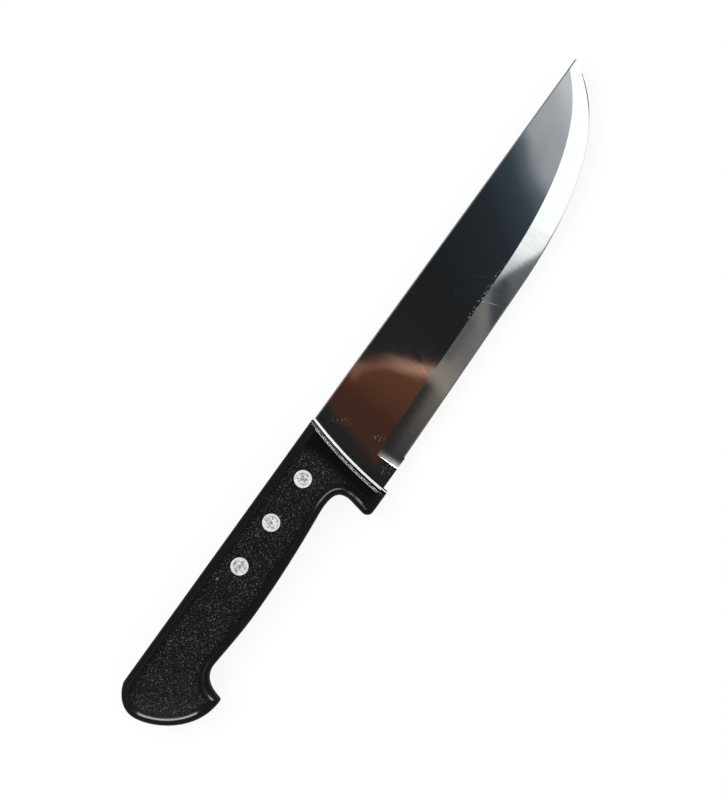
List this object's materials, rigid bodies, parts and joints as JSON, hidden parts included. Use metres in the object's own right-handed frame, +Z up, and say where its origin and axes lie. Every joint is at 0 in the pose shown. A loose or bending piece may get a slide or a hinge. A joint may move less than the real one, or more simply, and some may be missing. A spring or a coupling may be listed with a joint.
{
  "type": "kitchen knife",
  "caption": "Kitchen knife with a broad straight-backed blade, and a black handle with a guard, a hooked butt and flush bright rivets.",
  "frame": {"origin": "on the surface that the knife lies on, under the middle of its box", "axes": "+X from the butt to the tip, +Y towards the spine, +Z up out of the right side of the knife, which lies on its left side"},
  "size_m": [0.3116, 0.0406, 0.0175],
  "materials": {
    "blade_steel": "polished",
    "handle_plastic": "fine grain with a glossy border",
    "rivet_metal": "satin, ground flush"
  },
  "bodies": {
    "root": {"blade": "blade_steel", "right_scale": "handle_plastic", "left_scale": "handle_plastic", "rivet_front_tube": "rivet_metal", "rivet_front_pin": "rivet_metal", "rivet_middle_tube": "rivet_metal", "rivet_middle_pin": "rivet_metal", "rivet_rear_tube": "rivet_metal", "rivet_rear_pin": "rivet_metal"}
  },
  "joints": []
}
